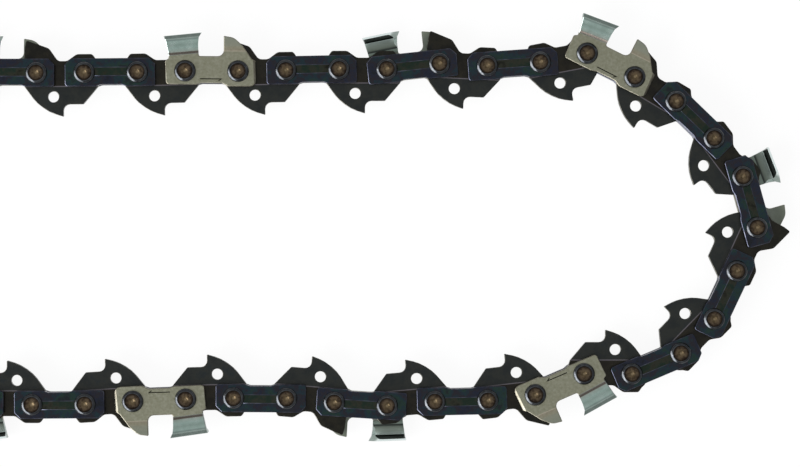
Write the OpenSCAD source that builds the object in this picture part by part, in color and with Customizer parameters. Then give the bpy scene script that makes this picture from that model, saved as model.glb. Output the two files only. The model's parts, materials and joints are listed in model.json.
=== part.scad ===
// Saw chain loop for a garden chainsaw: low profile, narrow gauge, 29 drive links.
// It lies flat and slack. The near side is up, and the chain runs clockwise.
// A link's own frame has its rear rivet at zero, X along the run and Y away from the guide bar.

/* [Pitch] */
// Distance between the two rivets of a tie strap or cutter
outer_pitch = 9.8; // [9.4:0.05:10.2]
// Distance between the two rivet holes of a drive link
drive_pitch = 8.84; // [8.6:0.02:9.2]

/* [Thickness] */
// Thickness of a drive link, which is the gauge of the bar groove
drive_thick = 1.1; // [0.9:0.05:1.6]
// Thickness of a tie strap or a cutter's side plate
plate_thick = 1.1; // [0.9:0.05:1.3]
// Side play between a drive link and the plates beside it
side_play = 0.05; // [0.04:0.01:0.12]
// Width of the cut from corner to corner of left and right cutters
kerf = 5.4; // [5.2:0.1:6.4]

/* [Rivet] */
// Diameter of the hub that turns in a drive link
hub_d = 4.1; // [3.8:0.05:4.4]
// Radial clearance of the hub in its hole
hub_play = 0.05; // [0.03:0.01:0.1]
// Radial clearance of the hub at the one rivet that closes the loop
closing_play = 0.2; // [0.1:0.05:0.3]
// Diameter of the shank through the plates
shank_d = 3.1; // [2.6:0.05:3.4]
// Diameter of a peened head
head_d = 4; // [3.7:0.05:4.2]
// Height of a peened head over its plate
head_h = 0.62; // [0.4:0.02:0.8]
// Diameter of the punch mark in a head
dimple_d = 0.9; // [0.6:0.05:1.4]

/* [Tie strap] */
// Length of a strap behind its rear rivet
strap_rear = 3.6; // [3.3:0.05:3.8]
// Length of a strap ahead of its front rivet
strap_front = 3.3; // [3.1:0.05:3.6]
// Height of a strap above the rivet line
strap_top = 2.6; // [2.4:0.05:2.75]
// Depth of a strap below the rivet line
strap_foot = 2.55; // [2.4:0.05:2.7]
// Size of a strap's cut corners
strap_cut = 1.1; // [0.6:0.1:1.3]
// Depth of the waist in a strap's inner edge
strap_waist = 0.3; // [0.1:0.05:0.5]

/* [Drive link] */
// Radius of a drive link's ends about their holes
end_r = 3.25; // [3.1:0.05:3.4]
// Height of the shoulders above the rivet line
shoulder_h = 3.48; // [3.35:0.01:3.7]
// Height of the saddle between the shoulders
saddle_h = 2.2; // [1.9:0.1:2.6]
// Depth of the tang below the rivet line
tang_depth = 8.1; // [7.6:0.05:8.8]
// Diameter of the hole in the tang
tang_hole_d = 2.05; // [1.6:0.05:2.3]
// Height of a bumper link's ramp
bumper_h = 6.2; // [5.6:0.1:6.3]

/* [Cutter] */
// Height of the top plate's cutting corner
blade_h = 7; // [6.8:0.1:7.4]
// Fall of the top plate to the rear, degrees
top_rake = 5.7; // [4:0.1:7]
// Reach of the cutting corner ahead of the rear rivet
blade_front = 3.1; // [2.8:0.05:3.2]
// Reach of the top plate's heel behind the rear rivet
blade_rear = 3.95; // [3.8:0.05:4.2]
// Reach of the top plate over the far side of the mid-plane
blade_reach = 0.7; // [0.3:0.1:1]
// Side relief of the blade to the rear, degrees
side_relief = 2; // [1:0.5:3]
// Thickness of the top plate at its root
blade_thick = 1.05; // [0.8:0.05:1.2]
// Height at which the blade bends out of the side plate
bend_h = 3.4; // [3.3:0.05:3.6]
// Angle of the cutting edge across the chain, degrees
top_angle = 30; // [20:1:35]
// Diameter of the round file that forms the edge
file_d = 4; // [3.6:0.1:4.4]
// Height of the depth gauge
gauge_h = 6.5; // [6.2:0.05:6.7]
// Height of the gullet floor between blade and depth gauge
gullet_h = 2.75; // [2.65:0.05:2.9]

/* [Hidden] */

// Layers across the chain
play_z = drive_thick / 2 + side_play;
plate_z = play_z + plate_thick;
overrun = 1;

// Rivet details
hub_r = hub_d / 2;
shank_r = shank_d / 2;
shank_play = 0.03;
// Gap that a rivet's hub and heads keep from the plates
seat_gap = 0.02;
head_r = head_d / 2;
dome_shares = [[1, 0.3], [0.96, 0.55], [0.85, 0.78], [0.66, 0.93], [0.42, 1]];
dimple_depth = 0.14;

// Strap details
waist_start = 2.1;
waist_slope = 0.9;
small_round = 0.3;
waist_round = 0.8;

// Drive link details
shoulder_back = 1.95;
shoulder_lip = 0.6;
shoulder_run = 1.5;
saddle_start = 3.3;
shoulder_round = 1.1;
tang_flank_share = 0.3;
tang_rear = 2.44;
tang_belly = 0.8;
tang_belly_share = 0.847;
tang_belly_round = 8;
tang_tip_share = 0.543;
tang_tip_round = 0.12;
tang_floor_share = 0.715;
tang_floor_end = 0.35;
tang_floor_round = 1.2;
tang_front = 2.5;
tang_hole_share = 0.545;
tang_hole_back = 1.45;

// Bumper details
bumper_back = 2.45;
bumper_nose = 3;
bumper_nose_h = 4.7;
bumper_foot_h = 2.2;
bumper_knee = 2.15;
bumper_knee_h = 4.6;
bumper_toe = 3.8;

// Cutter details
body_rear = 3.7;
body_lean = 0.2;
body_front = 3.45;
toe_lean = 0.25;
body_foot = 2.5;
body_toe_foot = 2.8;
body_waist = 2.2;
heel_back = 3.05;
heel_flare = 0.3;
heel_h = 2.25;
heel_low_h = 1.9;
toe_top_h = 1.9;
toe_shoulder = 2.5;
toe_shoulder_h = 2.3;
blade_foot = 2.45;
blade_stub = 0.6;
gauge_set = 2.66;
gauge_back = outer_pitch - gauge_set;
gauge_knee = 0.85;
gauge_knee_h = 4.7;
gauge_crest = 0.75;
gauge_fall = 0.32;
crest_round = 2;
gullet_round = 1.1;
blade_foot_round = 0.5;
toe_round = 1.2;
chamfer_side = 0.75;
chamfer_top = 0.45;
crown = 0.12;
lip_thick = 0.62;
bend_step = 0.2;
reach_relief = 0.25;
hook_drop = 1.4;
shoulder_room = 0.3;
corner_lift = 1.1;
corner_steps = 4;
curve_fn = 48;

// The run of the chain
// Kinds of the outer links in running order: far cutter, near cutter or tie strap
KINDS = ["far", "tie", "near", "tie", "far", "tie", "near", "tie", "far", "tie",
         "tie", "near", "tie", "far", "tie", "near", "tie", "far", "tie", "near",
         "tie", "far", "tie", "near", "tie", "far", "tie", "near", "tie"];
// Headings of the outer links in degrees, each balanced by an opposite one or by a trio
OUTER_DEG = [0, 0.5, -0.4, 1.2, 6, 4, -26.5, -44.1, -74.5, -115.3,
             -157.1, -156.7, -178.8, -183.6, -180.4, -177.7, -179.5, -180, -174, -176,
             -194.5, -206.5, -224.1, -295.3, -314.5, -337.1, -336.7, -357.7, -363.6];
// Headings of the drive links in degrees; the two left open are solved below
FREE_DEG = [0.4, 1.4, 1.1, 0, -2.7, 10.7, -30.7, -53, -114.8, -134.3,
            -180, -173.4, -174.9, -184.7, -178.6, -176.5, -180, -176, -174, -181,
            -193, -206, undef, -319, -338, -346, -352, undef, -362];
count = len(KINDS);
last = count - 1;

function heading(deg) = [cos(deg), sin(deg)];
function total(list, i = 0) = i == len(list) ? [0, 0] : list[i] + total(list, i + 1);

// The two solved links close the loop: their headings sum to what the others leave
SOLVED = [for (i = [0 : last]) if (FREE_DEG[i] == undef) i];
missing = -total([for (deg = FREE_DEG) if (deg != undef) heading(deg)]);
missing_deg = atan2(missing.y, missing.x);
spread_deg = acos(norm(missing) / 2);
DRIVE_DEG = [for (i = [0 : last])
    i == SOLVED[0] ? missing_deg + spread_deg :
    i == SOLVED[1] ? missing_deg - spread_deg : FREE_DEG[i]];

function outer_run(i) = outer_pitch * heading(OUTER_DEG[i]);
function drive_run(i) = drive_pitch * heading(DRIVE_DEG[i]);
// Rear rivet of each outer link, counted from the first one
REAR = [for (i = 0, p = [0, 0]; i < count; p = p + outer_run(i) + drive_run(i), i = i + 1) p];
function front(i) = REAR[i] + outer_run(i);

// Corners that can reach furthest, which centre the loop on its bounding box
function turned(p, deg) = [p.x * cos(deg) - p.y * sin(deg), p.x * sin(deg) + p.y * cos(deg)];
function reach_points(i) = KINDS[i] == "tie" ?
    [[-strap_rear, 0], [0, shoulder_h], [outer_pitch, shoulder_h]] :
    [[blade_front, blade_h], [-blade_rear, blade_h - blade_fall], [gauge_back, gauge_h]];
blade_fall = (blade_front + blade_rear) * tan(top_rake);
EDGE = [for (i = [0 : last]) for (p = reach_points(i)) REAR[i] + turned(p, OUTER_DEG[i])];
EDGE_X = [for (p = EDGE) p.x];
EDGE_Y = [for (p = EDGE) p.y];
centre = [max(EDGE_X) + min(EDGE_X), max(EDGE_Y) + min(EDGE_Y)] / 2;
mid_h = kerf / 2;

// Names of the nodes
function two(i) = str(i < 9 ? "0" : "", i + 1);
function outer_name(i) = str(KINDS[i] == "tie" ? "tie_strap_set_" :
    KINDS[i] == "near" ? "right_cutter_set_" : "left_cutter_set_", two(i));
function drive_name(i) = str(KINDS[i] == "tie" ? "drive_link_" : "bumper_link_", two(i));

// Outlines with rounded corners: each point is x, y and the radius of its corner
function unit(v) = v / norm(v);
function flat(p) = [p.x, p.y];
function round_corner(a, b, c, r) = r == 0 ? [b] :
    let (u = unit(a - b), w = unit(c - b), half = acos(u * w) / 2)
    let (o = b + unit(u + w) * r / sin(half), from = u * r / tan(half), to = w * r / tan(half))
    [for (k = [0 : corner_steps])
        let (t = k / corner_steps) o + r * unit(b + from * (1 - t) + to * t - o)];
function rounded(pts) = [for (i = [0 : len(pts) - 1])
    let (a = pts[(i + len(pts) - 1) % len(pts)], b = pts[i], c = pts[(i + 1) % len(pts)])
    each round_corner(flat(a), flat(b), flat(c), b.z)];

// Places a shape that is drawn in a link's own frame
module at_link(p, deg) {
    translate([p.x - centre.x, p.y - centre.y, mid_h]) rotate([0, 0, deg]) children();
}

// Plate: an outline of a strap or side plate on the near side, bored for the shanks
module near_plate() {
    difference() {
        translate([0, 0, play_z]) linear_extrude(plate_thick) children();
        shank_holes();
    }
}
module shank_holes() {
    for (x = [0, outer_pitch])
        translate([x, 0, play_z - overrun])
            cylinder(r = shank_r + shank_play, h = kerf, $fn = curve_fn);
}

// Tie strap
module strap_outline() {
    rear = -strap_rear;
    toe = outer_pitch + strap_front;
    waist_end = outer_pitch - waist_start;
    waist_y = strap_waist - strap_foot;
    polygon(rounded([
        [rear, -strap_foot, strap_cut / 2],
        [waist_start, -strap_foot, waist_round],
        [waist_start + waist_slope, waist_y, waist_round],
        [waist_end - waist_slope, waist_y, waist_round],
        [waist_end, -strap_foot, waist_round],
        [toe, -strap_foot, strap_cut / 2],
        [toe, strap_top - strap_cut, small_round],
        [toe - strap_cut, strap_top, small_round],
        [rear + strap_cut, strap_top, small_round],
        [rear, strap_top - strap_cut, small_round],
    ]));
}
module tie_strap() {
    color("#2b3346") near_plate() strap_outline();
}

// Rivet: a hub between the plates, a shank through each plate and two peened heads
module rivet() {
    hub_z = play_z - seat_gap;
    rim_z = plate_z + seat_gap;
    top_z = rim_z + head_h;
    dimple_r = dimple_d / 2;
    upper = concat(
        [[hub_r, 0], [hub_r, hub_z], [shank_r, hub_z], [shank_r, rim_z], [head_r, rim_z]],
        [for (s = dome_shares) [head_r * s.x, rim_z + head_h * s.y]],
        [[dimple_r, top_z], [dimple_r / 2, top_z - dimple_depth], [0, top_z - dimple_depth]]);
    lower = [for (i = [len(upper) - 1 : -1 : 1]) [upper[i].x, -upper[i].y]];
    color("#6b5640") rotate_extrude($fn = curve_fn) polygon(concat(upper, lower));
}

// Drive link: two eyes joined by a web, with shoulders above and a hooked tang below
module tang_points_outline(top) {
    tip_x = drive_pitch * tang_tip_share;
    floor_y = -tang_depth * tang_floor_share;
    polygon(rounded(concat([
        [-tang_rear, -tang_depth * tang_flank_share, 0],
        [tang_belly, -tang_depth * tang_belly_share, tang_belly_round],
        [tip_x, -tang_depth, tang_tip_round],
        [tip_x, floor_y, tang_floor_round],
        [drive_pitch - tang_floor_end, floor_y, small_round],
        [drive_pitch + tang_front, -tang_depth * tang_flank_share, 0],
    ], top)));
}
function front_shoulder() = [
    [drive_pitch + shoulder_back, strap_top, 0],
    [drive_pitch + shoulder_back - shoulder_lip, shoulder_h, shoulder_round / 2],
    [drive_pitch - shoulder_run, shoulder_h, shoulder_round],
    [drive_pitch - saddle_start, saddle_h, shoulder_round],
];
function rear_shoulder() = [
    [saddle_start, saddle_h, shoulder_round],
    [shoulder_run, shoulder_h, shoulder_round],
    [shoulder_lip - shoulder_back, shoulder_h, shoulder_round / 2],
    [-shoulder_back, strap_top, 0],
];
function bumper_ramp() = [
    [bumper_toe, saddle_h, shoulder_round],
    [bumper_knee, bumper_knee_h, shoulder_round],
    [-bumper_back, bumper_h, small_round],
    [-bumper_nose, bumper_nose_h, small_round * 2],
    [-bumper_back, bumper_foot_h, 0],
];
module drive_plate(top, play) {
    color("#3a3528") translate([0, 0, -drive_thick / 2]) difference() {
        linear_extrude(drive_thick) {
            circle(r = end_r, $fn = curve_fn);
            translate([drive_pitch, 0]) circle(r = end_r, $fn = curve_fn);
            tang_points_outline(concat(front_shoulder(), top));
        }
        for (eye = [[0, play], [drive_pitch, hub_play]])
            translate([eye.x, 0, -overrun])
                cylinder(r = hub_r + eye.y, h = drive_thick + 2 * overrun, $fn = curve_fn);
        translate([drive_pitch / 2 - tang_hole_back, -tang_depth * tang_hole_share, -overrun])
            cylinder(d = tang_hole_d, h = drive_thick + 2 * overrun, $fn = curve_fn / 2);
    }
}
module drive_link(play = hub_play) {
    drive_plate(rear_shoulder(), play);
}
module bumper_link(play = hub_play) {
    drive_plate(bumper_ramp(), play);
}

// Cutter on the near side: side plate with depth gauge, and the blade folded over the chain
module cutter_outline() {
    toe = outer_pitch + body_front;
    waist_end = outer_pitch - waist_start;
    polygon(rounded([
        [body_lean - body_rear, -body_foot, strap_cut / 2],
        [waist_start, -body_foot, waist_round],
        [waist_start + waist_slope, -body_waist, waist_round],
        [waist_end - waist_slope, -body_waist, waist_round],
        [waist_end + small_round, -body_toe_foot, waist_round],
        [toe, -body_toe_foot, toe_round],
        [toe - toe_lean, toe_top_h, small_round],
        [outer_pitch + toe_shoulder, toe_shoulder_h, small_round],
        [outer_pitch + gauge_knee, gauge_knee_h, toe_round],
        [outer_pitch - gauge_crest, gauge_h - gauge_fall, crest_round],
        [gauge_back, gauge_h, small_round / 2],
        [gauge_back, gullet_h, gullet_round],
        [blade_foot, gullet_h, blade_foot_round],
        [blade_foot, gullet_h + blade_stub, 0],
        [-heel_back, gullet_h, 0],
        [-heel_back, heel_h, 0],
        [-body_rear, heel_low_h, small_round],
    ]));
}
module blade() {
    far = 2 * kerf;
    top = blade_h - crown;
    root_z = play_z + (top - blade_thick - bend_h) * (mid_h - plate_z) / (blade_h - bend_h);
    heel_top = blade_h - blade_fall;
    heel_neck = heel_top - chamfer_side;
    file_r = file_d / 2;
    file_y = blade_h - hook_drop;
    file_x = blade_front + chamfer_top * tan(top_angle)
        + sqrt(file_r * file_r - hook_drop * hook_drop) / cos(top_angle);
    difference() {
        intersection() {
            // Seen from the side
            linear_extrude(far, center = true) polygon([
                [-heel_back, gullet_h - small_round],
                [blade_foot, gullet_h - small_round],
                [blade_foot, blade_h - corner_lift],
                [blade_front, blade_h],
                [blade_front, blade_h + overrun],
                [-blade_rear - heel_flare, blade_h + overrun],
                [-blade_rear, heel_top],
                [heel_flare - blade_rear, heel_neck],
            ]);
            // Seen from the front, falling to the rear and drawn in for side relief
            translate([blade_foot, blade_h, mid_h]) rotate([0, -side_relief, top_rake])
                translate([-far, -blade_h, -mid_h]) rotate([90, 0, 90]) linear_extrude(2 * far) polygon([
                    [0, play_z],
                    [0, plate_z],
                    [bend_h, plate_z],
                    [blade_h - chamfer_side, mid_h],
                    [blade_h, mid_h - chamfer_top],
                    [top, -blade_reach],
                    [top - lip_thick, -blade_reach],
                    [top - blade_thick, root_z],
                    [bend_h + bend_step, play_z],
                ]);
            // Seen from above, with its inner edge drawn in to the rear
            translate([0, far, 0]) rotate([90, 0, 0]) linear_extrude(far) polygon([
                [blade_front, -blade_reach],
                [blade_front, kerf],
                [-blade_rear - overrun, kerf],
                [-blade_rear - overrun, reach_relief - blade_reach],
            ]);
        }
        // Room for the drive link's shoulder
        translate([-far, 0, play_z - far]) cube([2 * far, shoulder_h + shoulder_room, far]);
        translate([file_x, file_y, mid_h]) rotate([0, top_angle, 0])
            cylinder(r = file_r, h = 2 * far, center = true, $fn = curve_fn);
    }
}
module cutter() {
    color("#8d8d7c") near_plate() cutter_outline();
    color("#9fb0ae") difference() {
        blade();
        shank_holes();
    }
}

// Outer links with the two rivets that they carry
module rivets() {
    for (x = [0, outer_pitch]) translate([x, 0, 0]) rivet();
}
module tie_strap_set() {
    tie_strap();
    mirror([0, 0, 1]) tie_strap();
    rivets();
}
module right_cutter_set() {
    cutter();
    mirror([0, 0, 1]) tie_strap();
    rivets();
}
module left_cutter_set() {
    tie_strap();
    mirror([0, 0, 1]) cutter();
    rivets();
}
module outer_link(i) {
    at_link(REAR[i], OUTER_DEG[i]) {
        if (KINDS[i] == "tie") tie_strap_set();
        if (KINDS[i] == "near") right_cutter_set();
        if (KINDS[i] == "far") left_cutter_set();
    }
}
module inner_link(i) {
    play = i == SOLVED[0] ? closing_play : hub_play;
    at_link(front(i), DRIVE_DEG[i]) {
        if (KINDS[i] == "tie") drive_link(play);
        if (KINDS[i] != "tie") bumper_link(play);
    }
}

for (i = [0 : last]) {
    outer_link(i);
    inner_link(i);
}
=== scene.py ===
# %% [markdown]
# # A saw chain loop
#
# This lesson dresses a loop of saw chain that lies flat on a table. The loop has 29 outer links,
# each a pair of plates on two rivets, and 29 drive links between them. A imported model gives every
# part's true place and motion. Each step below makes one kind of part once, in the link's own
# frame, and the last steps set copies of it along the chain.

# %% Load the frame
import json
import math

import bmesh
import bpy
from mathutils import Matrix, Vector


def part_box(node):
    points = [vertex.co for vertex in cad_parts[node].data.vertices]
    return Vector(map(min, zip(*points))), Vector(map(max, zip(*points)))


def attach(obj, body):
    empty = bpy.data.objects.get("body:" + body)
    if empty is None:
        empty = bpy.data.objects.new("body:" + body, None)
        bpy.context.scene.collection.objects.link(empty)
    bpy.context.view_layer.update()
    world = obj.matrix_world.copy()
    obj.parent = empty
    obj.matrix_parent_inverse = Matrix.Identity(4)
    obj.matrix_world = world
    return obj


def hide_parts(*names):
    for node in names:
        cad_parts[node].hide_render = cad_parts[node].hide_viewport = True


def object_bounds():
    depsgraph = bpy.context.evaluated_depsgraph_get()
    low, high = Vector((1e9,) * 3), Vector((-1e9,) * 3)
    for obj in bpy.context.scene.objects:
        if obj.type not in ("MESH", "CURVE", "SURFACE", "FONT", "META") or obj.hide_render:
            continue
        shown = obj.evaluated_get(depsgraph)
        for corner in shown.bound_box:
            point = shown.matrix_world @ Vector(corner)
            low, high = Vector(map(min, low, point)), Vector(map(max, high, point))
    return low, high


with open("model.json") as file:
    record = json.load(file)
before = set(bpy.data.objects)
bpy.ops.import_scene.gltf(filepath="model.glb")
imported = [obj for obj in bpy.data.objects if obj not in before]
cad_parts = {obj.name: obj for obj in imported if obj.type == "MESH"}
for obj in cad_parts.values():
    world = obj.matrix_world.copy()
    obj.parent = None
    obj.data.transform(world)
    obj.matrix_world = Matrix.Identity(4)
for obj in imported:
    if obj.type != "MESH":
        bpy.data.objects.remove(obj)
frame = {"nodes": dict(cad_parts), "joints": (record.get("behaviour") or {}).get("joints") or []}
cad_low, cad_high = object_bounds()
MM = 0.001
size_mm = [round((high - low) / MM, 1) for low, high in zip(cad_low, cad_high)]
print("the loop measures", size_mm, "mm")

# %% [markdown]
# ## Where each link lies
#
# A hinge of the frame stands at every rivet, so the rivets' places are read from the hinges. The
# loop is opened at one rivet, which has no hinge. Its place comes from the strap's own head: the
# highest points of that node are the rims of its two heads. A link's own frame has its rear rivet
# at zero, X towards its front rivet and Y away from the guide bar, the same as in the solids.

# %% Read the rivets
joint_at = {joint["name"]: Vector(joint["pos_m"]) for joint in frame["joints"]}
outer_nodes = sorted((name for name in frame["nodes"] if "_set_" in name), key=lambda name: name[-2:])
drive_nodes = sorted((name for name in frame["nodes"] if "_link_" in name), key=lambda name: name[-2:])
mid_z = next(iter(joint_at.values())).z
HEAD_WITHIN, OTHER_HEAD_FROM = 0.05 * MM, 5 * MM


def far_head(node, near):
    """The centre of a strap's rivet head, the one that is far from the point near."""
    points = [vertex.co for vertex in frame["nodes"][node].data.vertices]
    top = max(point.z for point in points)
    rim = [point for point in points
           if top - point.z < HEAD_WITHIN and (point - near).xy.length > OTHER_HEAD_FROM]
    centre = sum(rim, Vector()) / len(rim)
    return Vector((centre.x, centre.y, mid_z))


rivets_at = {}
for node in outer_nodes:
    number = node[-2:]
    rear = joint_at[f"rivet_{number}_rear"]
    hinge = f"rivet_{number}_front"
    rivets_at[number] = rear, joint_at[hinge] if hinge in joint_at else far_head(node, rear)
rear, front = rivets_at["01"]
outer_pitch = (front - rear).length / MM
print(len(rivets_at), "outer links; rivets", round(outer_pitch, 2), "mm apart")

# %% Turn the rivets into places
numbers = sorted(rivets_at)
next_rear = {number: rivets_at[numbers[(k + 1) % len(numbers)]][0] for k, number in enumerate(numbers)}
drive_pitch = (next_rear["01"] - front).length / MM


def placement(rear, front):
    """The matrix that takes millimetres of a link's own frame to its place in the loop."""
    run = front - rear
    turn = Matrix.Rotation(math.atan2(run.y, run.x), 4, "Z")
    return Matrix.Translation(rear) @ turn @ Matrix.Scale(MM, 4)


outer_place = {number: placement(*ends) for number, ends in rivets_at.items()}
drive_place = {number: placement(rivets_at[number][1], next_rear[number]) for number in numbers}
print("drive links", round(drive_pitch, 2), "mm between their holes")

# %% [markdown]
# ## The camera
#
# The photograph looks straight down on the right half of the loop, so the camera hangs over that
# point. Its distance sets how much of the links' side walls shows, and its lens how wide it sees.

# %% Hang the camera
VIEW_AT = Vector((55.7, 0.35, 5.0)) * MM
VIEW_WIDTH = 147.6 * MM
VIEW_HEIGHT = 450 * MM
SENSOR = 36

camera_data = bpy.data.cameras.new("overhead_camera")
camera_data.sensor_width = SENSOR
camera_data.lens = SENSOR * VIEW_HEIGHT / VIEW_WIDTH
camera_data.clip_end = 10
camera = bpy.data.objects.new("overhead_camera", camera_data)
camera.location = VIEW_AT + Vector((0, 0, VIEW_HEIGHT))
bpy.context.scene.collection.objects.link(camera)
bpy.context.scene.camera = camera
print("lens", round(camera_data.lens, 1), "mm at", round(VIEW_HEIGHT / MM), "mm")

# %% [markdown]
# ## A blank with rounded corners
#
# Every plate of a chain is stamped out of strip, so every plate here starts as a flat blank: its
# corners joined to a face, each corner rounded with a vertex bevel, and the holes cut as loops
# before the face is filled again. A corner is x, y and the radius of its rounding, in millimetres.

# %% Draw a blank
SKIN, RIM, PRESSED = 0, 1, 2
CORNER_STEPS, HOLE_STEPS = 4, 28
print("finishes of a piece: skin", SKIN, "rim", RIM, "pressed or bare", PRESSED)


def corner_reach(before, here, after, radius):
    """How far along its sides a corner's rounding starts."""
    back, ahead = Vector(before) - Vector(here), Vector(after) - Vector(here)
    return radius / math.tan(back.angle(ahead) / 2)


def blank(corners, holes, rings=()):
    """A flat filled outline with round holes, each x, y and radius, and rings that will be pressed."""
    bm = bmesh.new()
    verts = [bm.verts.new((x, y, 0)) for x, y, _ in corners]
    bm.faces.new(verts)
    for k, vert in enumerate(verts):
        x, y, radius = corners[k]
        if radius:
            before, after = corners[k - 1][:2], corners[(k + 1) % len(corners)][:2]
            reach = corner_reach(before, (x, y), after, radius)
            bmesh.ops.bevel(bm, geom=[vert], offset=reach, offset_type="OFFSET",
                            segments=CORNER_STEPS, profile=0.5, affect="VERTICES",
                            clamp_overlap=False, material=-1)
    bmesh.ops.delete(bm, geom=bm.faces[:], context="FACES_ONLY")
    for x, y, radius in holes:
        bmesh.ops.create_circle(bm, cap_ends=False, radius=radius, segments=HOLE_STEPS,
                                matrix=Matrix.Translation((x, y, 0)))
    inner = [[bm.verts.new((x, y, 0)) for x, y in ring] for ring in rings]
    for ring in inner:
        for k, vert in enumerate(ring):
            bm.edges.new((ring[k - 1], vert))
    bmesh.ops.triangle_fill(bm, use_beauty=True, use_dissolve=False, edges=bm.edges[:])
    for ring in inner:
        bm.faces.new(ring).material_index = PRESSED
    bmesh.ops.recalc_face_normals(bm, faces=bm.faces[:])
    return bm


# %% [markdown]
# ## From a blank to a plate
#
# Tumbling rounds a stamped edge by about a tenth of a millimetre, and that rim is what catches the
# light. A bevel of the finished plate could make it, but a bevel is held back by the shortest edge
# round the outline, so it comes out hair-thin. Two narrow rings are inset in the flat blank
# instead, and once the plate is thick, the outline and the ring beside it sink a little.

# %% Thicken a blank
RING_WIDTHS = (0.35, 0.65)
OUTLINE_SINKS, RING_SINKS = 0.8, 0.25
print("a rim has", len(RING_WIDTHS), "rings and sinks", OUTLINE_SINKS, "of its width at the outline")


def ring_outline(bm, radius, keen):
    """Draws the rings inside the outline and the holes, and notes how far each point will sink."""
    sink = bm.verts.layers.float.new("sink")
    sheet = bm.faces[:]
    rings = []
    for share in RING_WIDTHS:
        made = bmesh.ops.inset_region(bm, faces=sheet, thickness=share * radius, depth=0,
                                      use_boundary=True, use_even_offset=True)
        rings.append(made["faces"])
        for face in made["faces"]:
            face.material_index = SKIN if keen(face.calc_center_median()) else RIM
    outline = {vert for edge in bm.edges if edge.is_boundary for vert in edge.verts}
    between = {vert for face in rings[0] for vert in face.verts} - outline
    for vert in bm.verts:
        vert[sink] = 0
    for verts, share in ((outline, OUTLINE_SINKS), (between, RING_SINKS)):
        for vert in verts:
            vert[sink] = 0 if keen(vert.co) else share * radius
    return sink


def thicken(bm, low, high, rim, keen=lambda point: False):
    """Turns a flat blank into a plate between two heights, rounded at all edges that aren't keen."""
    sink = ring_outline(bm, rim, keen)
    bmesh.ops.translate(bm, verts=bm.verts[:], vec=(0, 0, low))
    made = bmesh.ops.extrude_face_region(bm, geom=bm.faces[:])["geom"]
    lifted = [item for item in made if isinstance(item, bmesh.types.BMVert)]
    bmesh.ops.translate(bm, verts=lifted, vec=(0, 0, high - low))
    bmesh.ops.recalc_face_normals(bm, faces=bm.faces[:])
    for face in bm.faces:
        if abs(face.normal.z) < 0.1:
            face.material_index = SKIN
    for vert in bm.verts:
        vert.co.z += vert[sink] if vert.co.z < (low + high) / 2 else -vert[sink]


def press(bm, rise, slope):
    """Moves the rings on the upper face up, or down, with sloping sides that are marked as rims."""
    for face in [face for face in bm.faces if face.material_index == PRESSED]:
        if face.normal.z < 0.9:
            face.material_index = SKIN
            continue
        walls = bmesh.ops.inset_region(bm, faces=[face], thickness=slope, depth=rise,
                                       use_even_offset=True)
        for wall in walls["faces"]:
            wall.material_index = RIM


def arc(centre, radius, start, end, steps):
    """Points on a circle from one angle to another, in degrees, as corners with no rounding."""
    angles = [math.radians(start + (end - start) * k / steps) for k in range(steps + 1)]
    return [(centre + radius * math.cos(a), radius * math.sin(a), 0) for a in angles]


# %% [markdown]
# ## Template meshes
#
# A template is kept in millimetres. Its UV map holds the link's own x and y, so that a finish can
# follow the part wherever the link lies, and its far side is the same mesh turned over.

# %% Keep a template
SMOOTH_BELOW = math.radians(50)
print("edges under", round(math.degrees(SMOOTH_BELOW)), "degrees are shaded smooth")


def chart(bm):
    """Writes the link's own x and y into the UV map."""
    layer = bm.loops.layers.uv.new("link")
    for face in bm.faces:
        for loop in face.loops:
            loop[layer].uv = loop.vert.co.xy


def template(bm, name):
    """Makes a mesh of a finished bmesh. An edge is sharp where it is steep or a rim starts."""
    for face in bm.faces:
        face.smooth = True
    for edge in bm.edges:
        finishes = {face.material_index for face in edge.link_faces}
        if edge.calc_face_angle(0) > SMOOTH_BELOW or len(finishes) > 1:
            edge.smooth = False
    mesh = bpy.data.meshes.new(name)
    bm.to_mesh(mesh)
    bm.free()
    print(name, len(mesh.polygons), "faces")
    return mesh


def turned_over(mesh):
    """The same part on the far side of the chain."""
    bm = bmesh.new()
    bm.from_mesh(mesh)
    bmesh.ops.scale(bm, vec=(1, 1, -1), verts=bm.verts[:])
    bmesh.ops.reverse_faces(bm, faces=bm.faces[:])
    far = bpy.data.meshes.new(mesh.name + "_far")
    bm.to_mesh(far)
    bm.free()
    return far


# %% [markdown]
# ## Layers across the chain
#
# The drive link is in the middle, then a plate on each side with a little play. The gauge is the
# height of a drive link's node, and the plates' layer follows from it.

# %% Measure the layers
low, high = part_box(drive_nodes[1])
drive_half = (high.z - low.z) / MM / 2
side_play = 0.05
plate_thick = 1.1
play_z = drive_half + side_play
plate_z = play_z + plate_thick
hub_r = 2.05
shank_r = 1.58
print("drive link", round(2 * drive_half, 2), "mm thick")
print("plates from", round(play_z, 2), "to", round(plate_z, 2), "mm over its middle")

# %% [markdown]
# ## Tie strap
#
# A tie strap is a plain plate with cut corners and a waist on its inner edge. On its outer face a
# band between the rivets stands a little proud, because the press coins the metal beside it. The
# band is browner than the rest, and its sides show as thin bright lines.

# %% Make the tie strap
strap_rear, strap_front, strap_top, strap_foot = -3.6, outer_pitch + 3.3, 2.6, -2.55
strap_cut, strap_waist = 1.1, 0.3
waist_start, waist_slope = 2.1, 0.9
band_low, band_high = -0.68, 0.98
band_in = 1.75
BAND_RISE, BAND_SLOPE, STRAP_RIM = 0.06, 0.1, 0.13


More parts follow.
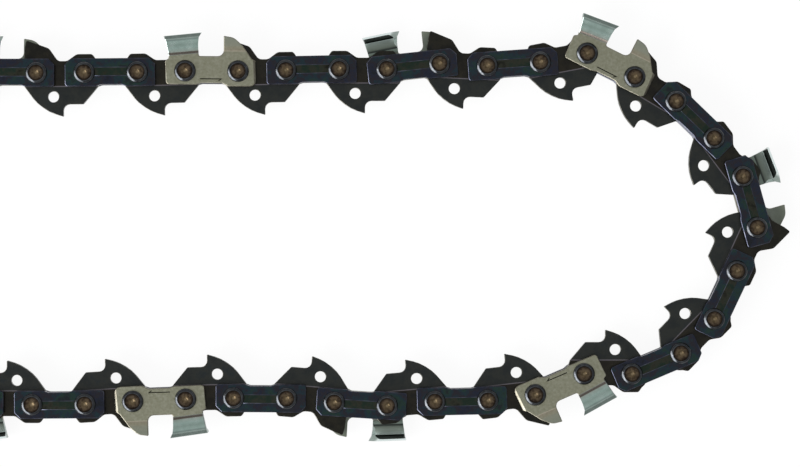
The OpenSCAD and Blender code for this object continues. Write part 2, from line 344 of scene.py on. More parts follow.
def strap_corners():
    """The strap's outline, from its lower rear corner on."""
    waist_end = outer_pitch - waist_start
    waist_y = strap_foot + strap_waist
    return [
        (strap_rear, strap_foot, strap_cut / 2),
        (waist_start, strap_foot, 0.8),
        (waist_start + waist_slope, waist_y, 0.8),
        (waist_end - waist_slope, waist_y, 0.8),
        (waist_end, strap_foot, 0.8),
        (strap_front, strap_foot, strap_cut / 2),
        (strap_front, strap_top - strap_cut, 0.3),
        (strap_front - strap_cut, strap_top, 0.3),
        (strap_rear + strap_cut, strap_top, 0.3),
        (strap_rear, strap_top - strap_cut, 0.3),
    ]


shank_holes = [(0, 0, shank_r), (outer_pitch, 0, shank_r)]
proud_band = [
    (band_in, band_low), (outer_pitch - band_in, band_low),
    (outer_pitch - band_in, band_high), (band_in, band_high),
]
strap = blank(strap_corners(), shank_holes, rings=[proud_band])
thicken(strap, play_z, plate_z, STRAP_RIM)
press(strap, BAND_RISE, BAND_SLOPE)
chart(strap)
strap_mesh = template(strap, "tie_strap")
strap_far_mesh = turned_over(strap_mesh)

# %% [markdown]
# ## Drive link
#
# A drive link is two round eyes joined by a web. Under the straps it ends in a hooked tang that
# runs in the bar's groove, and above them in low shoulders. Ahead of a cutter the rear shoulder is
# a tall ramp, the bumper, that eases the wood over the depth gauge.

# %% Outline the tang and the eyes
end_r = 3.25
tang_depth = 8.1
tip_x = 0.543 * drive_pitch
tang_floor = -0.715 * tang_depth
tang_flank = -0.3 * tang_depth
shoulder_h, saddle_h = 3.48, 2.2
DRIVE_RIM = 0.1
print("the tang reaches", tang_depth, "mm below the rivets")


def eye_angle(x, y):
    """The angle, in degrees, at which a point lies round an eye."""
    return math.degrees(math.atan2(y, x))


def tang_corners():
    """From the rear eye round the tang to the front eye."""
    return [
        (-2.44, tang_flank, 0),
        (0.8, -0.847 * tang_depth, 8),
        (tip_x, -tang_depth, 0.12),
        (tip_x, tang_floor, 1.2),
        (drive_pitch - 0.35, tang_floor, 0.3),
        (drive_pitch + 2.5, tang_flank, 0.3),
    ]


def front_eye():
    """Round the front eye, from the tang up to the shoulder."""
    return arc(drive_pitch, end_r, -32, eye_angle(1.95, strap_top), 8)


def front_shoulder():
    """Over the front shoulder, back to the saddle."""
    return [
        (drive_pitch + 1.35, shoulder_h, 0.55),
        (drive_pitch - 1.5, shoulder_h, 1.1),
        (drive_pitch - 3.3, saddle_h, 1.1),
    ]


rear_shoulder = [(3.3, saddle_h, 1.1), (1.5, shoulder_h, 1.1), (-1.35, shoulder_h, 0.55)]
bumper_ramp = [
    (3.8, saddle_h, 1.1), (2.15, 4.6, 1.1), (-2, 6.1, 0.3), (-2.3, 4.7, 0.6), (-2.45, 2.2, 0),
]


def rear_eye(first_x, first_y):
    """Round the rear eye, from the shoulder or bumper down to the tang."""
    return arc(0, end_r, eye_angle(first_x, first_y), eye_angle(-2.44, tang_flank) + 352, 8)


# %% Make the drive links
hole_r = hub_r + 0.05
tang_hole = (drive_pitch / 2 - 1.45, -0.545 * tang_depth, 1.025)
drive_holes = [(0, 0, hole_r), (drive_pitch, 0, hole_r), tang_hole]


def drive_template(name, top, eye_start):
    """A drive link with the given rear top, whose rear eye starts where that top ends."""
    corners = tang_corners() + front_eye() + front_shoulder() + top + rear_eye(*eye_start)
    link = blank(corners, drive_holes)
    thicken(link, -drive_half, drive_half, DRIVE_RIM)
    chart(link)
    return template(link, name)


drive_mesh = drive_template("drive_link", rear_shoulder, (-1.95, strap_top))
bumper_mesh = drive_template("bumper_link", bumper_ramp, (-2.5, 2.05))

# %% [markdown]
# ## Cutter
#
# A cutter is stamped flat as well, with its depth gauge standing in line with the side plate, and
# then its blade is folded: out a little, and over the chain's middle with a chamfered corner. The
# lesson does the same. The blank carries a grid above the side plate, every row of which has a
# place on the folded section, seen from the chain's end: an outer and an inner path of y and z.
# The side plate has a sunk arrow that points to the front, and a sloping facet at its toe.

# %% Trace the fold
blade_rear_x, blade_front_x = -3.09, 2.45
blade_row = 3.2
blade_h, blade_tip_x = 7.0, 3.1
mid_h = 2.7
columns = 7


def rounded_path(points):
    """Points of a path, each given as y, z, the radius of its corner and how many points to make."""
    path = []
    for k, (y, z, radius, count) in enumerate(points):
        here = Vector((y, z))
        if count == 1:
            path.append(here)
            continue
        before = (Vector(points[k - 1][:2]) - here).normalized()
        after = (Vector(points[k + 1][:2]) - here).normalized()
        half = before.angle(after) / 2
        centre = here + (before + after).normalized() * radius / math.sin(half)
        first, last = here + before * radius / math.tan(half), here + after * radius / math.tan(half)
        for step in range(count):
            along = first.lerp(last, step / (count - 1))
            path.append(centre + (along - centre).normalized() * radius)
    return path


outer_path = rounded_path([
    (blade_row, plate_z, 0, 1), (3.36, plate_z, 0.05, 3), (3.72, 1.98, 0.1, 4), (5.0, 2.35, 0, 1),
    (6.25, mid_h, 0.3, 5),
    (blade_h, 2.25, 0.25, 5), (6.96, 1.2, 0, 1), (6.92, 0.2, 0, 1), (6.88, -0.7, 0, 1),
])
inner_path = rounded_path([
    (blade_row, play_z, 0, 1), (3.45, play_z, 0.12, 3), (3.8, 0.7, 0.2, 4), (4.8, 0.96, 0, 1),
    (5.8, 1.28, 0.12, 5),
    (6.1, 0.95, 0.2, 5), (6.24, 0.5, 0, 1), (6.4, -0.1, 0, 1), (6.5, -0.7, 0, 1),
])
row_at = [blade_row]
for before, after in zip(outer_path, outer_path[1:]):
    row_at.append(row_at[-1] + (after - before).length)
print(len(row_at), "rows; the blank's blade stands", round(row_at[-1], 2), "mm over the rivets")

# %% Stamp the cutter's blank
body_rear, body_toe = -3.7, outer_pitch + 3.45
body_foot, toe_foot = -2.5, -2.8
gauge_back, gauge_h, gullet_h = outer_pitch - 2.66, 6.5, 2.75


def cutter_corners():
    """The flat cutter's outline, from its lower rear corner on."""
    waist_end = outer_pitch - waist_start
    top_row = [blade_front_x + (blade_rear_x - blade_front_x) * k / columns for k in range(columns + 1)]
    return [
        (body_rear + 0.2, body_foot, strap_cut / 2),
        (waist_start, body_foot, 0.8),
        (waist_start + waist_slope, -2.2, 0.8),
        (waist_end - waist_slope, -2.2, 0.8),
        (waist_end + 0.3, toe_foot, 0.8),
        (body_toe, toe_foot, 1.2),
        (body_toe - 0.25, 1.9, 0.3),
        (outer_pitch + 2.5, 2.3, 0.3),
        (outer_pitch + 0.85, 4.7, 1.2),
        (outer_pitch - 0.75, 6.18, 2),
        (gauge_back, gauge_h, 0.15),
        (gauge_back, gullet_h, 1.1),
        (blade_front_x, gullet_h, 0.4),
    ] + [(x, blade_row, 0) for x in top_row] + [
        (-3.05, 2.25, 0.2),
        (body_rear, 1.9, 0.3),
    ]


arrow = [(2.8, -1.55), (6.45, -1.55), (6.15, -1.78), (6.24, -1.92), (6.98, -1.38), (2.8, -1.35)]
cutter = blank(cutter_corners(), shank_holes, rings=[arrow])
top_row = [vert for vert in cutter.verts if abs(vert.co.y - blade_row) < 0.001]
top_row = sorted((v for v in top_row if v.co.x < blade_front_x + 0.001), key=lambda vert: vert.co.x)
for height in row_at[1:]:
    new_row = [cutter.verts.new((vert.co.x, height, 0)) for vert in top_row]
    for k in range(columns):
        cutter.faces.new((top_row[k], top_row[k + 1], new_row[k + 1], new_row[k]))
    top_row = new_row
bmesh.ops.recalc_face_normals(cutter, faces=cutter.faces[:])
print("the blank has", len(cutter.faces), "faces")

# %% [markdown]
# The front of the blade is ground with a round file that stands 30 degrees askew. The file's
# surface gives how far forward each point of the section reaches, so the edge stays sharp and the
# face under it comes out hollow. Towards its heel the blade falls by the rake and draws in by the
# relief, so that only its edge cuts, and the heel itself slants back.

# %% Trace the file and the fold
FILE_R, FILE_DROP, TOP_ANGLE, TIP_INSIDE = 2.0, 1.4, math.radians(30), 0.45
FILE_Y = blade_h - FILE_DROP
file_ahead = math.sqrt(FILE_R ** 2 - FILE_DROP ** 2) / math.cos(TOP_ANGLE)
file_x = blade_tip_x + TIP_INSIDE * math.tan(TOP_ANGLE) + file_ahead
RAKE, RELIEF = math.tan(math.radians(5.7)), math.tan(math.radians(2))
TIP_FROM, TIP_OVER = 5.9, 1.1
HEEL_X, HEEL_LOW, HEEL_HIGH = -3.05, 2.45, 5.55
HEEL_SLANT, CORNER_SLANT, HEEL_SHIFT = 0.194, 0.4, 0.62
SWING_OVER, HEEL_DRAWN_IN, FOOT_RAKE = 2.5, 0.25, 0.9
print("the file's axis passes", round(file_x, 2), "mm ahead of the rear rivet")


def front_limit(y, z):
    """How far forward the blade reaches: up to its stamped front, or to the file's surface."""
    lean = max(0, y - TIP_FROM) * (blade_tip_x - blade_front_x) / TIP_OVER
    filed = FILE_R ** 2 - (y - FILE_Y) ** 2
    if filed <= 0:
        return blade_front_x + lean
    filed_x = file_x + (z - mid_h) * math.tan(TOP_ANGLE) - math.sqrt(filed) / math.cos(TOP_ANGLE)
    return min(blade_front_x + lean, filed_x)


def heel_limit(y):
    """How far back the blade reaches: its heel slants back, and more so at the upper corner."""
    slanted = min(max(0, y - HEEL_LOW), HEEL_HIGH - HEEL_LOW) * HEEL_SLANT
    return HEEL_X - slanted - max(0, y - HEEL_HIGH) * CORNER_SLANT


def folded(point):
    """Where a point of the flat, thick blank goes when the blade is folded."""
    across = (point.z - play_z) / plate_thick
    row = next((k for k, height in enumerate(row_at[1:]) if point.y <= height + 0.001),
               len(row_at) - 2)
    share = (point.y - row_at[row]) / (row_at[row + 1] - row_at[row])
    outer = outer_path[row].lerp(outer_path[row + 1], share)
    inner = inner_path[row].lerp(inner_path[row + 1], share)
    y, z = inner.lerp(outer, across)
    back_x = heel_limit(y - HEEL_SHIFT)
    along = (point.x - blade_rear_x) / (blade_front_x - blade_rear_x)
    x = back_x + (front_limit(y, z) - back_x) * along
    swing = min(1, (point.y - blade_row) / SWING_OVER)
    behind = blade_front_x - x
    over_top = max(0, (point.y - row_at[-4]) / (row_at[-1] - row_at[-4]))
    drawn_in = HEEL_DRAWN_IN * (1 - along) * over_top
    rake = RAKE * (FOOT_RAKE + (1 - FOOT_RAKE) * swing)
    return Vector((x, y - rake * behind, z - swing * RELIEF * behind + drawn_in))


# %% [markdown]
# The blank is thickened while it is still flat. The strip at the blade's front keeps its keen
# edges, because on the real cutter the file makes them. The arrow is pressed in, and the toe is cut
# across, so that the outer face can slope down beyond the cut.

# %% Press the arrow and slope the toe
CUTTER_RIM, KEEN_STRIP = 0.12, 0.13
ARROW_SUNK, ARROW_SLOPE = -0.16, 0.06
TOE_FACET, TOE_SLOPE = 0.45, 0.6
TOE_SIDE = Vector((4.7, 0.25, 0)).normalized()
toe_line = Vector((body_toe - TOE_FACET, toe_foot, 0))
plate_mid = (play_z + plate_z) / 2


def at_front_edge(point):
    """Whether a point of the flat blank is on the blade's front strip, which stays keen."""
    in_strip = blade_front_x - KEEN_STRIP < point.x < blade_front_x + 0.01
    return in_strip and point.y > blade_row - 0.001


def beyond_toe_line(point):
    """How far a point lies past the line where the toe's facet starts."""
    return (point.xy - toe_line.xy).dot(TOE_SIDE.xy)


thicken(cutter, play_z, plate_z, CUTTER_RIM, at_front_edge)
press(cutter, ARROW_SUNK, ARROW_SLOPE)
bmesh.ops.bisect_plane(cutter, geom=cutter.verts[:] + cutter.edges[:] + cutter.faces[:],
                       plane_co=toe_line, plane_no=TOE_SIDE)
for vert in cutter.verts:
    if vert.co.z > plate_mid:
        vert.co.z -= TOE_SLOPE * max(0, beyond_toe_line(vert.co))
for face in cutter.faces:
    middle = face.calc_center_median()
    if middle.z > plate_mid and beyond_toe_line(middle) > 0:
        face.material_index = RIM
print("the toe's facet sinks", round(TOE_SLOPE * TOE_FACET, 2), "mm")

# %% [markdown]
# The depth gauge leans a little from a crease over the side plate. The blade's front posts get more
# points, so that the file can hollow them, and then every point above the side plate moves to its
# place on the folded section. Last, the blade and the rest part, because each has its own plating.

# %% Lean the gauge and fold the blade
LEAN_FROM, LEAN = 3.7, -0.1
posts = [edge for edge in cutter.edges
         if all(abs(v.co.x - blade_front_x) < 0.001 and v.co.y > blade_row - 0.001 for v in edge.verts)
         and abs(edge.verts[0].co.z - edge.verts[1].co.z) > 1]
bmesh.ops.subdivide_edges(cutter, edges=posts, cuts=3, use_grid_fill=True)
bmesh.ops.bisect_plane(cutter, geom=cutter.verts[:] + cutter.edges[:] + cutter.faces[:],
                       plane_co=(gauge_back, LEAN_FROM, 0), plane_no=(0, 1, 0))
for edge in cutter.edges:
    if all(abs(v.co.y - LEAN_FROM) < 0.001 and v.co.x > gauge_back - 1 for v in edge.verts):
        edge.smooth = False
chart(cutter)
for face in cutter.faces:
    if face.normal.z < -0.9:
        face.material_index = PRESSED
blade_faces = []
for face in cutter.faces:
    middle = face.calc_center_median()
    if middle.x < gauge_back - 1 and middle.y > blade_row:
        blade_faces.append(face)
for vert in cutter.verts:
    if vert.co.x > gauge_back - 1 and vert.co.y > LEAN_FROM:
        vert.co.z -= (vert.co.y - LEAN_FROM) * LEAN
    elif vert.co.x < gauge_back - 1 and vert.co.y > blade_row - 0.001:
        vert.co = folded(vert.co)
blade = cutter.copy()
blade.faces.ensure_lookup_table()
cutter.faces.ensure_lookup_table()
cutter.faces.index_update()
blade_index = {face.index for face in blade_faces}


def keep_faces(bm, keep):
    """Leaves the faces that keep says and closes the cut with one face."""
    gone = [face for face in bm.faces if not keep(face.index)]
    bmesh.ops.delete(bm, geom=gone, context="FACES")
    bmesh.ops.holes_fill(bm, edges=[edge for edge in bm.edges if edge.is_boundary], sides=0)
    bmesh.ops.recalc_face_normals(bm, faces=bm.faces[:])


keep_faces(blade, lambda index: index in blade_index)
keep_faces(cutter, lambda index: index not in blade_index)
blade_mesh = template(blade, "blade")
cutter_mesh = template(cutter, "cutter")
blade_far_mesh, cutter_far_mesh = turned_over(blade_mesh), turned_over(cutter_mesh)

# %% [markdown]
# ## Rivet
#
# A rivet is a turned pin: a thick hub that the drive link turns on, a thinner shank through each
# plate and a head that is peened over with a rolling punch. That leaves a raised rim with a dished
# middle and the punch's point in it. It is spun from its profile, radius and height. A rivet is
# round, so its UV map holds the distance from its axis, and its bands run round it.

# %% Spin the rivet
seat, pin_r = 0.02, 1.55
DISH_R, TURN_STEPS = 1.46, 40
head_profile = [
    (2, 0), (2, 0.14), (1.93, 0.29), (1.75, 0.44), (1.57, 0.57), (1.47, 0.6), (1.37, 0.58),
    (1.1, 0.53), (0.75, 0.5), (0.48, 0.49), (0.4, 0.45), (0.22, 0.37), (0, 0.35),
]
upper = [(hub_r, play_z - seat), (pin_r, play_z - seat), (pin_r, plate_z + seat)]
upper += [(r, plate_z + seat + h) for r, h in head_profile]
profile = [(r, -z) for r, z in reversed(upper)] + upper
rivet = bmesh.new()
verts = [rivet.verts.new((r, 0, z)) for r, z in profile]
wire = [rivet.edges.new(pair) for pair in zip(verts, verts[1:])]
bmesh.ops.spin(rivet, geom=verts + wire, cent=(0, 0, 0), axis=(0, 0, 1), angle=2 * math.pi,
               steps=TURN_STEPS, use_merge=True)
bmesh.ops.remove_doubles(rivet, verts=rivet.verts[:], dist=0.0001)
bmesh.ops.recalc_face_normals(rivet, faces=rivet.faces[:])
for face in rivet.faces:
    middle = face.calc_center_median()
    in_dish = middle.xy.length < DISH_R and abs(middle.z) > plate_z
    face.material_index = PRESSED if in_dish else SKIN
chart(rivet)
radius_at = rivet.loops.layers.uv["link"]
for face in rivet.faces:
    for loop in face.loops:
        loop[radius_at].uv = 0, loop.vert.co.xy.length
rivet_mesh = template(rivet, "rivet")

# %% [markdown]
# ## Finishes
#
# The straps are blued, so they are nearly black with a blue and purple sheen. The cutters are grey
# under a film of hard chrome, which is brightest on the blade. The drive links are dark and oily,
# and the rivets' middles are brown from the heat of hardening. All are steel, so one function
# builds them, with the default IOR of a metal. Every pattern is scaled from a size in millimetres:
# patches of tint, a grain, and bands that follow the link's own Y. Many of the bands paint light and
# shade: highlights, shade in creases, corners and the groove, and reflections. The real grain is
# finer than a view of the whole loop can show, so it is drawn as coarse as 0.12 to 0.4 mm.

# %% Tools for finishes
def linear(hex_colour):
    """A colour written as in a paint program, as the linear values that a shader wants."""
    parts = [int(hex_colour[k:k + 2], 16) / 255 for k in (1, 3, 5)]
    return tuple(p / 12.92 if p <= 0.04045 else ((p + 0.055) / 1.055) ** 2.4 for p in parts) + (1,)


def add(tree, kind, values=(), links=(), **settings):
    """Adds one node, with its settings, the values of its inputs and the links into them."""
    made = tree.nodes.new(kind)
    for name, value in settings.items():
        setattr(made, name, value)
    for name, value in dict(values).items():
        made.inputs[name].default_value = value
    for name, source in dict(links).items():
        tree.links.new(source, made.inputs[name])
    return made


def set_stops(ramp_node, stops):
    """Sets a colour ramp's stops, each a position, a colour and how much of it shows."""
    elements = ramp_node.color_ramp.elements
    while len(elements) < len(stops):
        elements.new(0.5)
    for element, (position, colour, share) in zip(elements, stops):
        element.position = position
        element.color = linear(colour)[:3] + (share,)


# Noise gathers round one half, so tints and gloss are spread over the middle of its range.
TINT_FROM, TINT_OVER = 0.32, 0.36
GLOSS_FROM, GLOSS_TO = 0.3, 0.7
COAT_ROUGH = 0.15
print("middle grey is", round(linear("#808080")[0], 3), "in linear light")


def steel(name, tints, patch_mm, rough, bands=(), grain_mm=0.2, grain=0.08, sheen=0.0):
    """A steel with drifting tints, a fine grain and, where given, bands along the link's Y."""
    material = bpy.data.materials.new(name)
    material.use_nodes = True
    tree = material.node_tree
    shader = tree.nodes["Principled BSDF"]
    where = add(tree, "ShaderNodeTexCoord").outputs["Object"]
    patches = add(tree, "ShaderNodeTexNoise",
                  {"Scale": 1 / (patch_mm * MM), "Detail": 5.0, "Roughness": 0.65}, {"Vector": where})
    tint = add(tree, "ShaderNodeValToRGB", links={"Fac": patches.outputs["Fac"]})
    gaps = len(tints) - 1
    set_stops(tint, [(TINT_FROM + TINT_OVER * k / gaps, tone, 1) for k, tone in enumerate(tints)])
    colour = tint.outputs["Color"]
    if bands:
        low, high = bands[0][0], bands[-1][0]
        link_y = add(tree, "ShaderNodeSeparateXYZ", links={
            "Vector": add(tree, "ShaderNodeUVMap", uv_map="link").outputs["UV"]})
        along = add(tree, "ShaderNodeMapRange", {"From Min": low, "From Max": high},
                    {"Value": link_y.outputs["Y"]})
        band = add(tree, "ShaderNodeValToRGB", links={"Fac": along.outputs["Result"]})
        set_stops(band, [((y - low) / (high - low), tone, share) for y, tone, share in bands])
        # A mix node's colours are its inputs 6 and 7 and its output 2.
        mix = add(tree, "ShaderNodeMix", data_type="RGBA", links={
            0: band.outputs["Alpha"], 6: colour, 7: band.outputs["Color"]})
        colour = mix.outputs[2]
    fine = add(tree, "ShaderNodeTexNoise", {"Scale": 1 / (grain_mm * MM), "Detail": 4.0},
               {"Vector": where})
    gloss = add(tree, "ShaderNodeMapRange",
                {"From Min": GLOSS_FROM, "From Max": GLOSS_TO, "To Min": rough[0], "To Max": rough[1]},
                {"Value": patches.outputs["Fac"]})
    bump = add(tree, "ShaderNodeBump", {"Distance": grain * grain_mm * MM},
               {"Height": fine.outputs["Fac"]})
    tree.links.new(colour, shader.inputs["Base Color"])
    tree.links.new(gloss.outputs["Result"], shader.inputs["Roughness"])
    tree.links.new(bump.outputs["Normal"], shader.inputs["Normal"])
    shader.inputs["Metallic"].default_value = 1.0
    shader.inputs["Coat Weight"].default_value = sheen
    shader.inputs["Coat Roughness"].default_value = COAT_ROUGH
    return material


# %% [markdown]
# The first finish of a piece is its skin. The second is its rounded rims, where tumbling has rubbed
# the skin. The third is its pressed or bare places: the straps' proud band, the cutters' unplated
# inner faces and the rivets' burnt middles. Each finish below is given its tints, the size of a
# patch of tint in millimetres and its least and greatest roughness.

# %% Mix the straps' finishes
# Spring steel, heated until a thin oxide turns blue, then oiled. The eye gets near-black with
# patches of blue, purple and green, under a faint gloss.
blued = steel("blued_steel", ["#0E1219", "#141A2A", "#1C191F", "#10232C", "#152B24", "#10161B"],
              3.6, (0.26, 0.42), sheen=0.3)
# The same steel where tumbling has worn the oxide thin. It is smoother, so an edge that faces the
# wall of light shows as a fine lavender line.
blued_rim = steel("blued_steel_rubbed", ["#282A36", "#40424E", "#5A5C68"], 1.6, (0.12, 0.24),
                  grain=0.03)
# The proud band, where tumbling has rubbed the blue away. The eye gets a dull brown and green, a
# shade lighter than the skin.
blued_band = steel("blued_steel_band", ["#1D1E1A", "#2E2F28", "#1E2A24", "#292A22"], 2.4,
                   (0.35, 0.5))
print("3 finishes for the straps")

# %% Mix the drive links' finishes
# Hardened carbon steel, stamped and tumbled, with a film of oil. The eye gets dark grey on the tang
# and a browner black from the straps' feet upwards. Just under the straps' feet, a fine pale line is a
# painted highlight that stands for the light on a small coined step there.
tang_tones_and_painted_highlight = [
    (-9.0, "#272C2E", 0.6), (-2.62, "#272B2C", 0.6), (-2.5, "#7E7880", 0.7), (-2.36, "#1F1B15", 0.6),
    (2.0, "#14120F", 0.5), (6.5, "#181813", 0.6),
]
oiled = steel("oiled_drive_steel", ["#0C0D0D", "#191913", "#29271D", "#151A1B"], 2.6, (0.32, 0.5),
              tang_tones_and_painted_highlight, sheen=0.2)
# The same on rims, which the bar's groove has rubbed to a dull grey.
oiled_rim = steel("oiled_drive_steel_rubbed", ["#1C1B18", "#3C3B35", "#5C5A52"], 1.5, (0.28, 0.42),
                  grain=0.03)
print("2 finishes for the drive links")

# %% Mix the cutters' finishes
# Steel, stamped and tumbled, under a matt film of electroplated chrome. The eye gets a warm grey
# with a sandy grain. At the depth gauge's crease the bands paint a light line, a painted highlight,
# and a brown one, painted shade. Above the crease the gauge is painted a cooler grey, a painted shade
# for its lean.
gauge_crease_painted_light = [
    (-3.0, "#85826C", 0.0), (3.55, "#85826C", 0.0), (3.68, "#BDB0A2", 0.4), (3.85, "#837466", 0.35),
    (4.4, "#827C6C", 0.4), (4.7, "#7C7E72", 0.7), (6.6, "#747A70", 0.8),
]
plated = steel("plated_cutter_steel", ["#747462", "#7D7D6C", "#878778"], 0.5, (0.36, 0.46),
               gauge_crease_painted_light, grain_mm=0.12)
# The same on rims and on the toe's facet: a shade darker where it reflects the low room, and white
# where it faces the wall of light.
plated_rim = steel("plated_cutter_steel_rubbed", ["#625E54", "#767265", "#8A877A"], 1.6,
                   (0.34, 0.44), grain=0.03)
# Bare steel on the cutter's inner side, a dull green grey. The arrow's groove is painted nearly
# black, a painted shade in the recess. Up the gauge's inner face the grey goes from darker at its foot
# to lighter at its top: painted shade and a painted highlight.
inner_face_painted_light_bands = [
    (-2.0, "#14130F", 0.95), (-1.3, "#14130F", 0.95), (-1.2, "#5C6156", 0.0), (3.2, "#4A4E44", 0.6),
    (5.0, "#565B50", 0.7), (6.5, "#727868", 0.7),
]
inner_face = steel("unplated_cutter_steel", ["#646A64", "#727872", "#7E847E"], 1.5, (0.34, 0.46),
                   inner_face_painted_light_bands)
print("3 finishes for the cutters")

# %% Mix the blades' finishes
# Bare steel in the hollow of the blade. Its two inner corners are painted dark, a painted shade,
# and the metal between them stays grey, with a painted highlight that makes it lightest under the
# top plate.
hollow_painted_shade_and_highlight = [
    (3.2, "#5E6A62", 0.8), (3.75, "#66726A", 0.8), (3.92, "#1A1F1D", 0.9), (4.25, "#222826", 0.85),
    (4.45, "#50584F", 0.8), (5.6, "#7C877F", 0.8), (6.4, "#AAB8B2", 0.9), (6.55, "#1A1F1D", 0.9),
    (10.5, "#1A1F1D", 0.9),
]
inner_blade = steel("unplated_blade_steel", ["#646A64", "#727872", "#7E847E"], 1.5, (0.34, 0.46),
                    hollow_painted_shade_and_highlight)
# Hard chrome, electroplated on the blade's outer side. It is smooth, so the eye gets a cold green
# grey sheen. Its bands paint light into it: brown painted shade in the step under the fold, faint
# painted reflections along the side, a thin dark line of painted shade at the bend near the top, and
# a near white painted highlight on the top plate's free end.
chrome_painted_light_bands = [
    (3.2, "#6A5A50", 0.3), (3.38, "#62564F", 0.9), (3.8, "#6A5E57", 0.85), (3.95, "#8F9088", 0.3),
    (4.6, "#8FA39D", 0.4), (5.2, "#75867F", 0.5), (5.9, "#8FA39C", 0.4), (6.2, "#5E6B68", 0.7),
    (6.4, "#8A938E", 0.4), (8.5, "#8A938E", 0.4), (9.8, "#E2ECEA", 0.9),
]
chromed = steel("hard_chrome", ["#76877F", "#84958E", "#93A09B"], 1.4, (0.2, 0.3), chrome_painted_light_bands,
                grain=0.05)
# The same on rims, polished bright by tumbling, which show as near-white lines.
chromed_rim = steel("hard_chrome_rubbed", ["#84958E", "#AEB8B4", "#C9D0CD"], 1.5, (0.16, 0.28),
                    grain=0.02)
print("3 finishes for the blades")

# %% Mix the rivets' finishes
# Steel, burnished where the rolling punch has turned it over. It mirrors the room, so the eye gets
# a white crescent on the side of the wall of light, and dark grey on the other.
rivet_ring = steel("peened_rivet_steel", ["#35373A", "#434548", "#555759"], 1.0, (0.1, 0.2),
                   grain_mm=0.4)
# The head's middle was hardened by a quick heat, which burnt its oil brown. The bands paint light
# into that brown: a painted highlight, light brown, at the punch mark, and painted shade, nearly
# black, beside the rim. The bands run over the distance from the axis.
head_painted_highlight_and_shade = [
    (0.0, "#8E7E64", 0.7), (0.35, "#62543C", 0.5), (0.95, "#3A3027", 0.4), (1.2, "#201915", 0.75),
    (1.45, "#13100E", 1.0),
]
burnt = steel("burnt_rivet_steel", ["#1E1814", "#352D25", "#5E5242", "#483E32"], 0.7, (0.24, 0.42),
              head_painted_highlight_and_shade, grain_mm=0.3)
print(len(bpy.data.materials), "finishes")

# %% [markdown]
# ## Along the chain
#
# Each template is copied into its link's place. A piece takes over from the frame's node and
# rides with its body, so every pose moves the dressed loop as well.

# %% Set the pieces
FINISHES = {
    "strap_steel": (blued, blued_rim, blued_band),
    "cutter_steel": (plated, plated_rim, inner_face),
    "chrome_plate": (chromed, chromed_rim, inner_blade),
    "rivet_steel": (rivet_ring, rivet_ring, burnt),
    "drive_steel": (oiled, oiled_rim, oiled),
}


def place(mesh, name, node, matrix, slot):
    """Copies a template into place as a piece that stands for a node of the frame."""
    copy = mesh.copy()
    copy.name = name
    copy.transform(matrix)
    for material in FINISHES[slot]:
        copy.materials.append(material)
    piece = bpy.data.objects.new(name, copy)
    bpy.context.scene.collection.objects.link(piece)
    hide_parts(node)
    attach(piece, node)


def set_outer(node):
    """Sets an outer link's two plates, or plate and cutter, and its two rivets."""
    number = node[-2:]
    where = outer_place[number]
    sides = (("near", "right", strap_mesh, cutter_mesh, blade_mesh),
             ("far", "left", strap_far_mesh, cutter_far_mesh, blade_far_mesh))
    for side, hand, plain, body, edge in sides:
        if node.startswith(hand):
            place(body, f"{side}_cutter_{number}", node, where, "cutter_steel")
            place(edge, f"{side}_blade_{number}", node, where, "chrome_plate")
        else:
            place(plain, f"{side}_strap_{number}", node, where, "strap_steel")
    for end, x in (("rear", 0), ("front", outer_pitch)):
        seat_at = where @ Matrix.Translation((x, 0, 0))
        place(rivet_mesh, f"rivet_{number}_{end}_pin", node, seat_at, "rivet_steel")


for node in outer_nodes:
    set_outer(node)
for node in drive_nodes:
    mesh = bumper_mesh if node.startswith("bumper") else drive_mesh
    place(mesh, node + "_plate", node, drive_place[node[-2:]], "drive_steel")

# %% [markdown]
# ## Floor and light
#
# The photograph is a cut-out on white. Its room is evenly bright over the chain, so the flat plates
# are evenly lit, and dimmer towards the ground, but for one wall of light at the lower left. The
# rivet heads show that wall as a white crescent, and rims that face it as a fine bright line. A
# lamp on the same side gives the soft shadow.

# %% Light the room
WALL, OVERHEAD = Vector((-0.86, -0.51, 0.05)), Vector((-0.2, 0, 0.98))
LOW_SKY, HIGH_SKY, WALL_LIGHT = 0.5, 0.95, 8.0
WALL_EDGE, SKY_EDGE = (0.68, 0.84), (0.36, 0.7)
world = bpy.data.worlds.new("soft_room")
world.use_nodes = True
sky = world.node_tree
sky.nodes.clear()
way = add(sky, "ShaderNodeTexCoord").outputs["Generated"]
facing = add(sky, "ShaderNodeVectorMath", {1: WALL}, {0: way}, operation="DOT_PRODUCT")
wall = add(sky, "ShaderNodeMapRange",
           {"From Min": WALL_EDGE[0], "From Max": WALL_EDGE[1], "To Min": LOW_SKY,
            "To Max": WALL_LIGHT},
           {"Value": facing.outputs["Value"]}, interpolation_type="SMOOTHSTEP")
above = add(sky, "ShaderNodeVectorMath", {1: OVERHEAD}, {0: way}, operation="DOT_PRODUCT")
over = add(sky, "ShaderNodeMapRange",
           {"From Min": SKY_EDGE[0], "From Max": SKY_EDGE[1], "To Min": 0.0, "To Max": HIGH_SKY},
           {"Value": above.outputs["Value"]}, interpolation_type="SMOOTHSTEP")
level = add(sky, "ShaderNodeMath", links={0: wall.outputs["Result"], 1: over.outputs["Result"]},
            operation="MAXIMUM")
backdrop = add(sky, "ShaderNodeBackground", links={"Strength": level.outputs["Value"]})
backdrop.inputs["Color"].default_value = linear("#FDFEFF")
add(sky, "ShaderNodeOutputWorld", links={"Surface": backdrop.outputs["Background"]})
bpy.context.scene.world = world
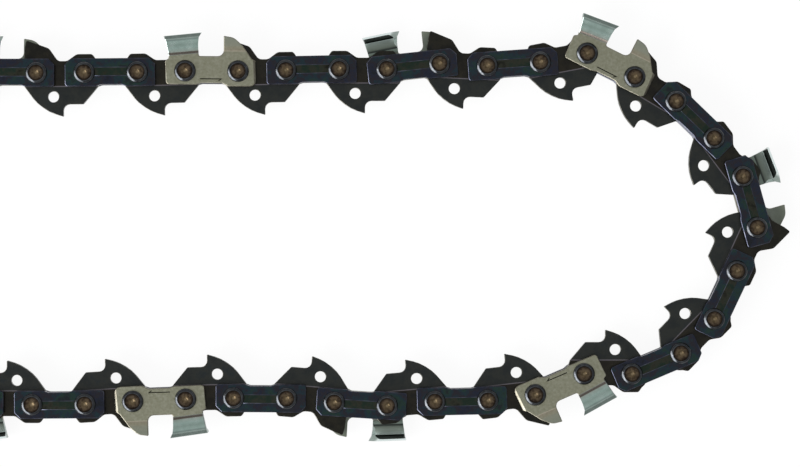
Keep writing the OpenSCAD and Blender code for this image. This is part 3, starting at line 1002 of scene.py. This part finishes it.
bpy.context.scene.view_settings.view_transform = "Standard"

key_data = bpy.data.lights.new("window", "AREA")
key_data.energy = 0.6
key_data.size = 0.3
key = bpy.data.objects.new("window", key_data)
key.location = VIEW_AT + WALL * 0.7 + Vector((0, 0, 0.5))
key.rotation_euler = (VIEW_AT - key.location).to_track_quat("-Z", "Y").to_euler()
bpy.context.scene.collection.objects.link(key)
print("the room is", HIGH_SKY, "bright overhead,", LOW_SKY, "low down and", WALL_LIGHT, "at the wall")

# %% [markdown]
# The floor is white paper. To the camera, and in reflections, it is mostly the even white of a
# page, and for the rest a matt paper, which keeps a faint shadow under the chain.

# %% Lay the paper
HALF = 1.5
PAGE_SHARE = 0.92
floor_mesh = bpy.data.meshes.new("floor")
flat_sheet = bmesh.new()
bmesh.ops.create_grid(flat_sheet, x_segments=1, y_segments=1, size=HALF)
flat_sheet.to_mesh(floor_mesh)
flat_sheet.free()
floor = bpy.data.objects.new("floor", floor_mesh)
paper = bpy.data.materials.new("white_paper")
paper.use_nodes = True
sheet = paper.node_tree
matt = sheet.nodes["Principled BSDF"]
matt.inputs["Base Color"].default_value = linear("#F2F2F2")
matt.inputs["Roughness"].default_value = 0.9
rays = add(sheet, "ShaderNodeLightPath")
seen = rays.outputs["Is Camera Ray"]
for other in ("Is Glossy Ray", "Is Transmission Ray"):
    seen = add(sheet, "ShaderNodeMath", links={0: seen, 1: rays.outputs[other]},
               operation="MAXIMUM").outputs["Value"]
share = add(sheet, "ShaderNodeMath", {1: PAGE_SHARE}, {0: seen}, operation="MULTIPLY")
page = add(sheet, "ShaderNodeEmission", {"Color": (1, 1, 1, 1), "Strength": 1.0})
blend = add(sheet, "ShaderNodeMixShader", links={
    0: share.outputs["Value"], 1: matt.outputs["BSDF"], 2: page.outputs["Emission"]})
sheet.links.new(blend.outputs["Shader"], sheet.nodes["Material Output"].inputs["Surface"])
floor_mesh.materials.append(paper)
bpy.context.scene.collection.objects.link(floor)
print("the paper is", 2 * HALF, "m wide")
